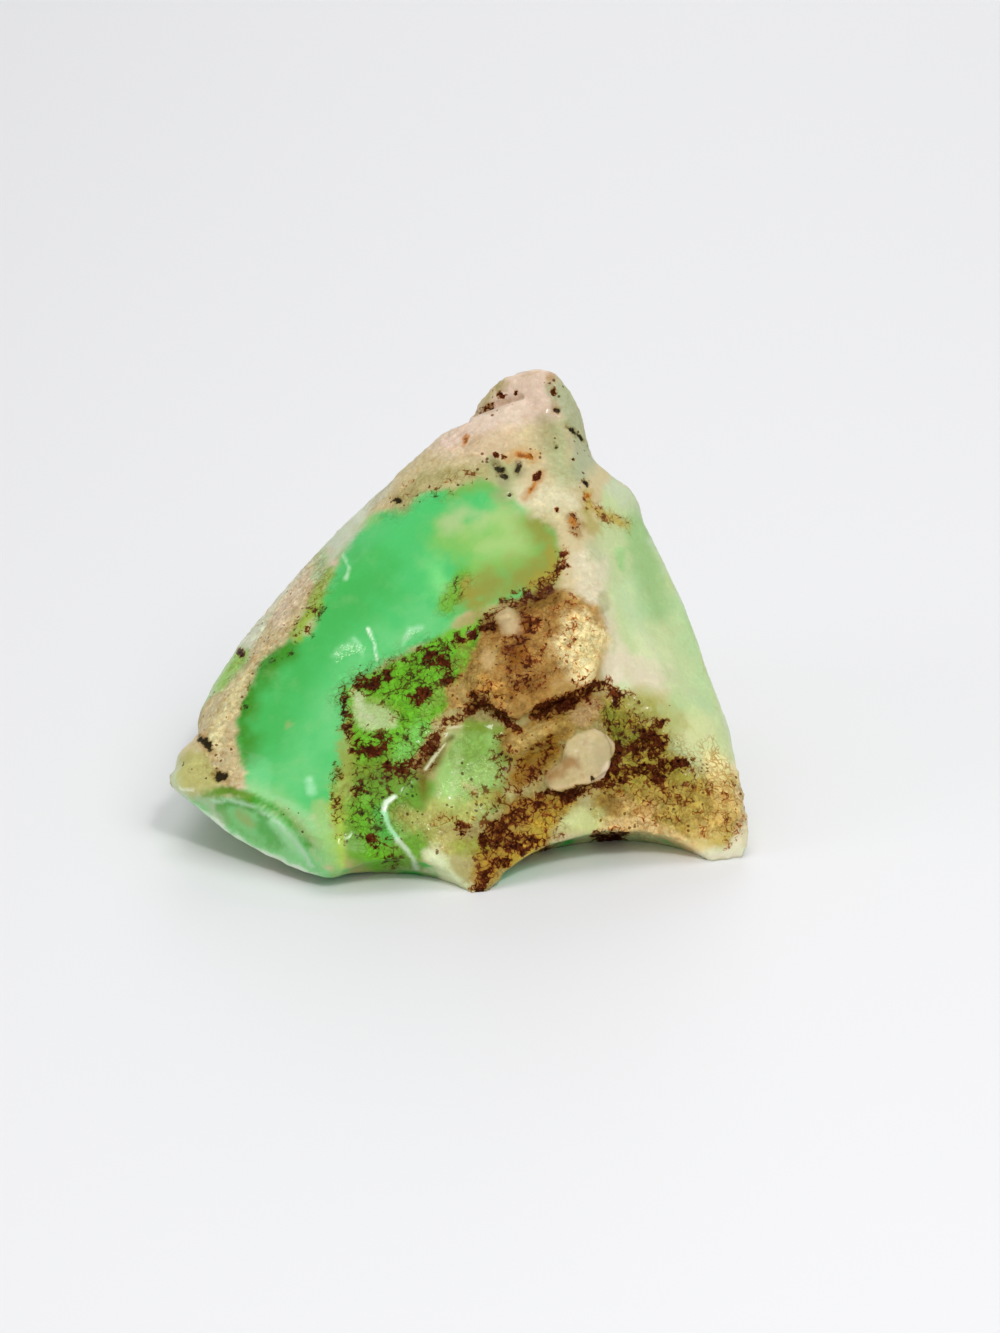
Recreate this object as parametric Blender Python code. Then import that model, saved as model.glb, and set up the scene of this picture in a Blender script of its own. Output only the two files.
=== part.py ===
"""Raw chrysoprase: one broken chunk of apple-green chalcedony with a cream rind, resting on its underside.

Run it with: blender --background --python part.py

The chunk is built in millimetres, in the pose it rests in: +X right, +Y away from the front, +Z up, with
the floor at Z = 0. A convex hull of named corners gives the block. Knobs, lumps and chips are joined on,
and ellipsoids bite the shell-shaped fracture faces out of it. A voxel remesh fuses them into one skin,
relief() gives that skin its rind, crevice and pits, and the last steps thin the mesh, cut the face that
it rests on, scale it to metres and put the middle of its base at the origin.
"""

import math

import bmesh
import bpy
import numpy as np
from mathutils import Matrix, Vector, noise

NODE = "chrysoprase"
METRES_PER_MM = 0.001

# Driving dimensions, in millimetres.
VOXEL = 0.36
TRIANGLES = 9400
FLOOR = 0.0
SNAP_TO_FLOOR = 0.06

# Corners of the block. The ones under the floor are cut off there, which leaves the face it rests on.
CORNERS = {
    # front, from the left nose round the lower edge to the right corner
    "nose": (-22.9, 10.0, 5.4),
    "nose_under": (-21.9, 9.7, 4.1),
    "left_facet_top": (-13.7, 4.5, 5.5),
    "left_facet_mid": (-17.8, 7.1, 5.8),
    "left_facet_low": (-20.1, 8.7, 3.1),
    "left_facet_sill": (-18.4, 7.4, 1.9),
    "left_facet_foot": (-15.5, 5.3, 1.2),
    "left_foot_low": (-12.7, 3.4, 0.9),
    "left_foot": (-11.0, 2.3, 1.5),
    "left_foot_top": (-11.2, 2.4, 3.4),
    "front_foot": (-0.4, 1.9, -0.4),
    "front_foot_right": (1.0, 2.6, -0.4),
    "right_foot": (19.3, 8.4, -0.6),
    "right_corner_low": (19.8, 9.0, 0.9),
    "right_corner": (19.6, 9.6, 2.2),
    "right_edge_low": (19.3, 12.5, 3.8),
    # the right edge, up to the knob
    "right_edge": (18.7, 16.5, 6.5),
    "right_edge_mid": (17.6, 18.8, 9.3),
    "right_edge_high": (16.2, 21.6, 13.3),
    "right_shoulder_low": (13.3, 25.0, 17.9),
    "right_shoulder": (11.7, 27.3, 20.8),
    "neck_right": (8.4, 28.5, 24.3),
    "crest_top": (5.4, 29.0, 27.4),
    "ridge_top": (2.4, 28.3, 28.4),
    # the crest that falls to the left, behind the window
    "crest_1": (-3.0, 30.0, 25.6),
    "crest_2": (-6.2, 29.5, 22.5),
    "crest_3": (-10.2, 28.5, 18.5),
    "crest_4": (-13.7, 28.2, 15.1),
    "crest_5": (-18.0, 27.6, 9.9),
    "left_heel": (-20.7, 27.0, 5.7),
    "left_heel_under": (-20.4, 26.2, 4.2),
    # the rind ridge, on the left of the window
    "rind_1": (-19.9, 13.6, 7.9),
    "rind_2": (-18.4, 15.5, 9.7),
    "rind_3": (-17.0, 18.0, 11.8),
    "rind_4": (-14.2, 21.5, 14.0),
    # the blunt ridge down the middle of the front
    "middle_1": (6.2, 26.3, 26.0),
    "middle_2": (6.7, 21.0, 21.6),
    "middle_3": (8.8, 16.6, 17.0),
    "middle_4": (9.4, 14.0, 14.2),
    # the hidden back
    "back_top": (4.0, 34.0, 26.0),
    "back_top_left": (-8.0, 35.0, 17.0),
    "back_left": (-16.5, 33.5, 7.0),
    "back_right_high": (13.0, 32.5, 15.0),
    "back_right": (17.0, 26.0, 4.5),
    "back_low_right": (11.5, 37.0, 3.0),
    "back_low_left": (-7.0, 38.0, 4.0),
    # the underside
    "heel_left": (-11.0, 31.0, -0.6),
    "heel_mid": (2.0, 35.0, -0.8),
    "heel_right": (12.0, 31.0, -0.8),
    "sole_left": (-9.0, 15.0, -0.5),
    "sole_right": (17.0, 15.0, -0.5),
}

# Masses joined to the block, each a hull of its own.
MASSES = {
    # the blunt knob on the summit, behind the ridge's top
    "knob": [
        (-0.6, 31.0, 26.9),
        (0.2, 30.9, 28.4),
        (1.6, 30.6, 29.7),
        (3.4, 30.4, 30.6),
        (4.9, 30.3, 30.7),
        (6.1, 30.1, 30.1),
        (7.0, 29.8, 28.8),
        (7.8, 29.4, 26.8),
        (8.4, 28.9, 24.6),
        (4.2, 28.5, 28.9),
        (6.6, 27.7, 26.2),
        (3.0, 33.4, 29.0),
        (5.6, 33.0, 28.7),
        (7.4, 32.8, 25.4),
        (3.4, 35.6, 21.0),
        (8.6, 33.2, 19.6),
        (-3.6, 34.9, 20.0),
    ],
    # the mound: its top runs into the face, and its foot overhangs the crevice as a lip
    "mound": [
        (5.4, 17.6, 18.0),
        (8.6, 16.6, 17.2),
        (1.5, 14.8, 16.2),
        (1.4, 12.1, 14.9),
        (4.4, 12.3, 15.3),
        (7.4, 13.2, 15.5),
        (-2.6, 10.9, 12.2),
        (-0.6, 9.9, 12.2),
        (2.1, 8.7, 10.7),
        (4.6, 9.6, 11.3),
        (7.6, 11.2, 12.3),
        (9.1, 12.6, 13.3),
        (-1.0, 14.0, 12.0),
        (3.0, 14.0, 10.8),
        (8.4, 15.0, 12.4),
    ],
    # the ledge, which comes out from under the lip
    "ledge": [
        (1.9, 8.4, 9.5),
        (4.2, 8.4, 10.1),
        (6.6, 9.2, 10.6),
        (9.0, 10.6, 11.1),
        (7.4, 11.6, 10.9),
        (9.2, 12.6, 11.4),
        (1.4, 8.2, 8.2),
        (5.4, 8.5, 8.4),
        (9.4, 10.4, 8.9),
        (2.4, 11.0, 8.6),
        (9.2, 14.0, 10.0),
    ],
    # the flat flake below the ledge, and the tail at its lower left
    "flake": [
        (6.2, 7.7, 8.4),
        (6.3, 8.1, 9.2),
        (6.9, 8.3, 9.7),
        (7.7, 8.6, 10.0),
        (8.6, 8.8, 9.8),
        (9.3, 9.0, 9.2),
        (9.8, 9.0, 8.3),
        (9.7, 8.6, 7.6),
        (9.2, 8.1, 7.0),
        (8.7, 7.6, 6.6),
        (7.9, 7.0, 6.4),
        (7.1, 6.6, 6.3),
        (8.0, 7.6, 8.4),
        (7.2, 11.4, 6.4),
        (9.3, 11.6, 7.0),
        (8.4, 11.6, 9.4),
        (6.8, 10.8, 9.0),
    ],
    "flake_tail": [
        (4.8, 6.9, 7.0),
        (5.4, 7.1, 7.5),
        (6.3, 7.5, 8.2),
        (6.9, 7.2, 7.7),
        (7.3, 6.6, 6.3),
        (5.8, 6.4, 5.9),
        (4.9, 6.7, 6.0),
        (5.4, 9.8, 6.0),
        (6.8, 10.2, 7.2),
    ],
}

# Rounded lumps joined on: centre, the way they face, their long way, and three half sizes (along the
# long way, across it, and out of the block).
LUMPS = {
    "brow": ((6.6, 15.0, 16.0), (0.1, -0.7, 0.7), (0.6, 0.3, 0.6), (3.2, 2.4, 1.0)),
    "cheek": ((2.0, 10.8, 13.0), (0.0, -0.8, 0.6), (1.0, 0.1, -0.2), (2.8, 1.9, 1.3)),
    "pebble_high": ((1.8, 14.9, 16.1), (0.0, -0.7, 0.7), (1.0, 0.0, 0.0), (1.0, 0.9, 1.0)),
    "pebble_low": ((0.0, 12.2, 13.5), (0.0, -0.7, 0.7), (1.0, 0.0, 0.3), (1.0, 0.8, 0.9)),
    "pale_lump": ((-8.0, 9.8, 10.3), (0.0, -0.7, 0.73), (0.9, -0.3, -0.3), (2.2, 1.4, 0.6)),
    "back_boss": ((4.0, 36.2, 16.0), (0.1, 0.9, 0.3), (0.3, -0.2, 0.9), (5.0, 3.6, 1.0)),
    "back_knuckle": ((-8.6, 36.0, 8.0), (-0.2, 0.95, 0.2), (1.0, 0.2, 0.2), (4.2, 2.6, 1.0)),
}

# Shell-shaped bites: centre on the face, the way out of it, the long way, half length, half width, depth.
BITES = {
    "window": ((-7.6, 14.6, 14.9), (-0.27, -0.58, 0.77), (0.62, 0.55, 0.56), 15.0, 7.4, 1.5),
    "window_foot": ((-12.6, 6.8, 7.0), (-0.15, -0.64, 0.75), (0.7, -0.6, -0.35), 5.6, 4.6, 0.7),
    "left_facet": ((-16.6, 6.1, 3.7), (-0.55, -0.82, -0.12), (0.8, -0.5, -0.25), 5.4, 1.6, 0.3),
    "left_waist": ((-21.6, 17.6, 6.6), (-0.93, 0.1, 0.34), (0.1, 0.9, -0.2), 5.0, 3.6, 1.0),
    "left_back": ((-17.4, 22.4, 10.9), (-0.78, 0.04, 0.62), (0.5, 0.4, 0.7), 6.0, 2.6, 0.6),
    "basin": ((-1.4, 7.7, 7.9), (0.16, -0.81, 0.56), (0.85, 0.3, 0.4), 3.4, 2.3, 0.9),
    "front_chip": ((-3.4, 4.9, 4.8), (0.16, -0.81, 0.56), (0.3, 0.5, 0.8), 3.0, 2.6, 0.7),
    "right_face": ((13.0, 20.6, 15.2), (0.63, -0.42, 0.65), (-0.55, 0.4, 0.75), 8.5, 3.2, 0.5),
    "right_low": ((15.6, 12.0, 7.6), (0.51, -0.57, 0.64), (0.6, 0.6, -0.3), 4.0, 3.2, 0.4),
    "under_left": ((-13.2, 21.5, 2.4), (-0.5, -0.05, -0.86), (0.1, 1.0, 0.0), 5.6, 4.0, 0.7),
    "back": ((-2.0, 36.4, 12.0), (-0.1, 0.97, 0.22), (0.4, 0.0, 0.9), 10.0, 7.6, 1.7),
    "back_right": ((15.2, 29.4, 9.0), (0.86, 0.5, 0.1), (-0.2, 0.2, 0.95), 7.6, 5.4, 1.2),
    "back_left": ((-14.4, 32.2, 11.0), (-0.6, 0.66, 0.45), (0.5, 0.0, 0.8), 7.4, 3.6, 0.9),
    "back_foot": ((3.0, 37.4, 2.4), (0.05, 0.8, -0.6), (1.0, 0.0, 0.0), 7.0, 3.4, 1.0),
}

# Arches under the front edge, cut as whole ellipsoids: centre, the way they face, their long way, and
# three half sizes.
ARCHES = {
    "right_arch": ((9.2, 4.4, -1.4), (0.0, 0.0, -1.0), (0.95, 0.3, 0.0), (8.9, 7.6, 4.3)),
    "left_arch": ((-6.3, 0.6, -1.0), (0.0, 0.0, -1.0), (0.98, 0.1, 0.0), (5.9, 5.2, 3.8)),
}

# The dark crevice under the mound's lip, and the seam that runs on from it to the foot.
CREVICE = [
    (-2.0, 10.7, 11.6),
    (-0.2, 10.2, 11.3),
    (1.9, 9.4, 10.1),
    (3.4, 9.3, 10.4),
    (4.8, 9.7, 10.9),
    (6.2, 10.3, 11.3),
    (7.6, 11.2, 11.8),
    (8.8, 12.0, 12.0),
]
SEAM = [(5.2, 7.8, 6.0), (1.6, 5.6, 4.4), (0.6, 4.4, 2.8)]
# The hollow under the ledge, on the left of the flake, and the gap round the flake.
HOLLOW = [(3.0, 7.4, 6.5), (3.9, 8.0, 7.6), (5.0, 8.4, 8.4)]
FLAKE_GAP = [
    (6.6, 9.0, 10.0),
    (7.7, 9.4, 10.4),
    (9.0, 9.8, 10.1),
    (10.1, 10.4, 9.0),
    (10.1, 9.8, 7.6),
    (9.2, 8.8, 6.4),
    (7.4, 7.6, 5.7),
]

# Where the rough rind lies: paths down the crests, each with the half width of its band.
RIND_PATHS = [
    ([(-22.5, 10.0, 5.4), (-18.4, 15.5, 9.7), (-14.2, 21.5, 14.0), (-10.2, 28.5, 18.5)], 2.4),
    ([(-10.2, 28.5, 18.5), (-3.0, 30.0, 25.3), (5.0, 30.4, 30.0)], 3.6),
    ([(5.0, 30.0, 29.0), (6.7, 21.0, 21.6)], 3.2),
]
MOUND_CENTRE = (4.6, 13.2, 13.2)
MOUND_REACH = 6.2
CRUST_CENTRE = (13.4, 11.0, 7.6)
CRUST_REACH = 6.0


def clear_scene():
    for obj in list(bpy.data.objects):
        bpy.data.objects.remove(obj, do_unlink=True)


def new_object(name, bm):
    mesh = bpy.data.meshes.new(name)
    bm.to_mesh(mesh)
    bm.free()
    obj = bpy.data.objects.new(name, mesh)
    bpy.context.scene.collection.objects.link(obj)
    return obj


def hull(name, points):
    """The smallest convex block round these points."""
    bm = bmesh.new()
    for point in points:
        bm.verts.new(point)
    made = bmesh.ops.convex_hull(bm, input=bm.verts)
    spare = {v for v in made["geom_interior"] + made["geom_unused"] if isinstance(v, bmesh.types.BMVert)}
    bmesh.ops.delete(bm, geom=list(spare), context="VERTS")
    bmesh.ops.recalc_face_normals(bm, faces=bm.faces)
    return new_object(name, bm)


def axes_of(outward, along):
    """A rotation whose Z is outward, and whose X is along, as nearly as a right angle lets it."""
    z = Vector(outward).normalized()
    x = Vector(along)
    x = (x - x.dot(z) * z).normalized()
    return Matrix((x, z.cross(x), z)).transposed().to_4x4()


def ellipsoid(name, centre, turn, half_sizes, detail):
    bm = bmesh.new()
    matrix = Matrix.Translation(centre) @ turn @ Matrix.Diagonal((*half_sizes, 1))
    bmesh.ops.create_icosphere(bm, subdivisions=detail, radius=1, matrix=matrix)
    return new_object(name, bm)


def lump(name, centre, outward, along, half_sizes):
    return ellipsoid(name, Vector(centre), axes_of(outward, along), half_sizes, detail=4)


def bite(name, centre, outward, along, half_length, half_width, depth):
    """The ellipsoid that takes out of a flat face a hollow of that length, width and depth."""
    radius = (half_width**2 + depth**2) / (2 * depth)
    rim = math.sqrt(1 - (1 - depth / radius) ** 2)
    turn = axes_of(outward, along)
    middle = Vector(centre) + Vector(outward).normalized() * (radius - depth)
    return ellipsoid(name, middle, turn, (half_length / rim, half_width / rim, radius), detail=5)


def combine(obj, other, operation):
    """Joins other to obj or cuts it out, and hides it as a helper."""
    other.hide_render = True
    other.display_type = "WIRE"
    modifier = obj.modifiers.new(other.name, "BOOLEAN")
    modifier.object = other
    modifier.operation = operation


def fuse(obj):
    """Remeshes the joined pieces as one even skin, a little smoothed, and drops the helpers."""
    remesh = obj.modifiers.new("one_skin", "REMESH")
    remesh.mode = "VOXEL"
    remesh.voxel_size = VOXEL
    smooth = obj.modifiers.new("soften", "SMOOTH")
    smooth.factor = 0.5
    smooth.iterations = 2
    apply_modifiers(obj)
    for helper in [o for o in bpy.data.objects if o is not obj]:
        bpy.data.objects.remove(helper, do_unlink=True)


def apply_modifiers(obj):
    graph = bpy.context.evaluated_depsgraph_get()
    mesh = bpy.data.meshes.new_from_object(obj.evaluated_get(graph))
    obj.modifiers.clear()
    obj.data = mesh


def smoothstep(low, high, value):
    t = np.clip((value - low) / (high - low), 0, 1)
    return t * t * (3 - 2 * t)


def distance_to_path(points, path):
    """Each point's distance to a line of straight stretches."""
    path = np.array(path, float)
    nearest = np.full(len(points), np.inf)
    for start, end in zip(path[:-1], path[1:]):
        way = end - start
        share = np.clip((points - start) @ way / (way @ way), 0, 1)
        nearest = np.minimum(nearest, np.linalg.norm(points - start - share[:, None] * way, axis=1))
    return nearest


def fractal(points, size, octaves):
    """Perlin noise in octaves, from about -1 to 1, whose largest swells are size across."""
    return np.array([noise.fractal(Vector(p) / size, 1.0, 2.0, octaves) for p in points])


def cells(points, size):
    """Domes of that size, side by side: 1 in the middle of each, falling to 0 where they meet."""
    nearest = np.array([noise.voronoi(Vector(p) / size)[0][0] for p in points])
    return 1 - np.clip(nearest / 0.75, 0, 1) ** 2


def relief(points):
    """How far each point of the skin moves out, in millimetres."""
    rind = np.zeros(len(points))
    for path, half_width in RIND_PATHS:
        away = distance_to_path(points, path) / half_width
        rind = np.maximum(rind, 1 - smoothstep(0.6, 1.15, away))
    mound = 1 - smoothstep(0.6, 1.0, np.linalg.norm(points - MOUND_CENTRE, axis=1) / MOUND_REACH)
    crust = 1 - smoothstep(0.5, 1.0, np.linalg.norm(points - CRUST_CENTRE, axis=1) / CRUST_REACH)
    back = smoothstep(29.5, 33.0, points[:, 1])

    swell = fractal(points, 9.0, 2)
    grain = fractal(points, 2.2, 3)
    lumps = cells(points, 2.3)

    out = 0.22 * swell
    out += 0.22 * rind * grain
    out += mound * (0.4 * (lumps - 0.5) + 0.15 * grain)
    out += crust * (0.3 * (lumps - 0.6) + 0.22 * grain)
    out += back * (0.35 * (lumps - 0.5) + 0.25 * grain)
    wander = 0.35 * fractal(points, 1.6, 2)
    out -= 0.3 * (1 - smoothstep(0.0, 0.6, distance_to_path(points, CREVICE) + 0.6 * wander))
    out -= 0.45 * (1 - smoothstep(0.1, 1.2, distance_to_path(points, SEAM) + wander))
    out -= 0.5 * (1 - smoothstep(0.2, 1.3, distance_to_path(points, HOLLOW) + 0.5 * wander))
    out -= 0.3 * (1 - smoothstep(0.1, 0.6, distance_to_path(points, FLAKE_GAP)))
    return out


def roughen(obj):
    mesh = obj.data
    points = np.array([v.co for v in mesh.vertices])
    normals = np.array([v.normal for v in mesh.vertices])
    points += normals * relief(points)[:, None]
    mesh.vertices.foreach_set("co", points.astype(np.float32).ravel())
    mesh.update()


def thin(obj):
    """Collapses the even skin to the triangles that its shape needs."""
    modifier = obj.modifiers.new("thin", "DECIMATE")
    modifier.ratio = TRIANGLES / (2 * len(obj.data.polygons))
    apply_modifiers(obj)


def cut_base(obj):
    """Cuts off what is under the floor, and closes the cuts with flat faces."""
    bm = bmesh.new()
    bm.from_mesh(obj.data)
    for vert in bm.verts:
        if abs(vert.co.z - FLOOR) < SNAP_TO_FLOOR:
            vert.co.z = FLOOR
    bmesh.ops.bisect_plane(
        bm,
        geom=bm.verts[:] + bm.edges[:] + bm.faces[:],
        plane_co=(0, 0, FLOOR),
        plane_no=(0, 0, 1),
        clear_inner=True,
    )
    rims = [e for e in bm.edges if e.is_boundary]
    bmesh.ops.holes_fill(bm, edges=rims, sides=0)
    bmesh.ops.triangulate(bm, faces=bm.faces)
    bmesh.ops.recalc_face_normals(bm, faces=bm.faces)
    bm.to_mesh(obj.data)
    bm.free()


def put_base_at_origin(obj):
    obj.data.transform(Matrix.Scale(METRES_PER_MM, 4))
    points = np.array([v.co for v in obj.data.vertices])
    middle = (points.min(axis=0) + points.max(axis=0)) / 2
    obj.location = (-middle[0], -middle[1], 0)


def finish(obj):
    material = bpy.data.materials.new("apple_green_chalcedony")
    material.use_nodes = True
    shader = material.node_tree.nodes["Principled BSDF"]
    shader.inputs["Base Color"].default_value = (0.25, 0.62, 0.30, 1)
    shader.inputs["Roughness"].default_value = 0.3
    shader.inputs["Metallic"].default_value = 0.0
    obj.data.materials.clear()
    obj.data.materials.append(material)
    obj.data.shade_smooth()
    obj.data.set_sharp_from_angle(angle=math.radians(40))


def main():
    clear_scene()
    stone = hull(NODE, CORNERS.values())
    for name, points in MASSES.items():
        combine(stone, hull(name, points), "UNION")
    for name, sizes in LUMPS.items():
        combine(stone, lump(name, *sizes), "UNION")
    for name, sizes in ARCHES.items():
        combine(stone, lump(name, *sizes), "DIFFERENCE")
    for name, sizes in BITES.items():
        combine(stone, bite(name, *sizes), "DIFFERENCE")
    fuse(stone)
    roughen(stone)
    thin(stone)
    cut_base(stone)
    put_base_at_origin(stone)
    finish(stone)


main()
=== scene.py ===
"""The look of the raw chrysoprase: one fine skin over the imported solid, with its relief, paint and lights.

stone_mesh() remeshes the solid and splits the faces of the busy places once more. Skin knows where the
camera's frame shows each point, and turns the named outlines and strokes of that frame into masks. relief()
and paint() use the masks for the fine shape and the colours, and stone_material() adds what is finer than
the mesh. The sides that the camera doesn't see are painted from named spots in millimetres.
"""

import math

import bmesh
import bpy
import numpy as np
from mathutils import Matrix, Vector, noise

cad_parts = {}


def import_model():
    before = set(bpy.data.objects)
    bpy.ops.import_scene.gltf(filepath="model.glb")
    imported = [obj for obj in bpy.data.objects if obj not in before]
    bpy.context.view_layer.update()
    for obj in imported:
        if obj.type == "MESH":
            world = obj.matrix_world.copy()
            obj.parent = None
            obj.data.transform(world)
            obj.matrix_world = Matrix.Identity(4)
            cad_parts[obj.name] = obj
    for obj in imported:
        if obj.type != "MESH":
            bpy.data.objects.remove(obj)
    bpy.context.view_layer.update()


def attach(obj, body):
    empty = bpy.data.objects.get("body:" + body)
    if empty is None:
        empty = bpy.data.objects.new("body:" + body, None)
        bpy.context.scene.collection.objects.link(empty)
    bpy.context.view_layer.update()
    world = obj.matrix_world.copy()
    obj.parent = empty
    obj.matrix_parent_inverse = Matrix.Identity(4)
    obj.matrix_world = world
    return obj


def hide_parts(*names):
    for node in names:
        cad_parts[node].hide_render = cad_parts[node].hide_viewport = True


MM = 0.001

# How fine the skin is, and how near the floor its points count as lying on it, before and after they settle.
VOXEL = 0.335 * MM
ON_FLOOR = 0.1 * MM
SETTLED = 0.02 * MM

# How far outside its stroke a dendrite's strength falls by 1, in pixels, or in millimetres where hidden.
FADE = 11
HIDDEN_FADE = 2.5

# The camera: how far above level it stands, how far off, the point at the middle of the 1000 x 1333 frame,
# and what one of that frame's pixels covers there.
ELEVATION = math.radians(22)
DISTANCE = 430 * MM
AIM = Vector((2.996, -3.017, 11.77)) * MM
PIXEL = 0.074 * MM
FRAME = (1000, 1333)
FORWARD = Vector((0, math.cos(ELEVATION), -math.sin(ELEVATION)))
RIGHT = Vector((1, 0, 0))
UP = RIGHT.cross(FORWARD)
EYE = AIM - FORWARD * DISTANCE

# Colours of the stone, as linear red, green and blue in hundredths.
EMERALD = (8.5, 56, 15)
MID_GREEN = (6, 45.5, 8.5)
MINT = (14, 62, 20)
APPLE = (33, 56, 17)
CLOUD = (45, 60, 27)
OLIVE = (29, 31, 5)
MOSS = (24, 40, 6)
LEAF = (15, 50, 2)
KHAKI = (45, 41, 17)
CREAM = (62, 52, 29)
PALE_CREAM = (72, 67, 44)
WHITE_CREAM = (72, 65, 46)
PINK = (78, 61, 50)
ROSE_TAN = (48, 30, 12)
TAN = (47, 28, 7.5)
PALE_GREEN = (54, 64, 32)
GREY_GREEN = (54, 60, 42)
UNDERSIDE = (3, 48, 6)
RED_BROWN = (4.2, 0.7, 0.1)
SOOT = (1.4, 1, 0.3)
RUST = (52, 18, 1.2)
DEEP_RUST = (20, 5, 0.5)
DARK_RUST = (11, 2.6, 0.5)

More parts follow.
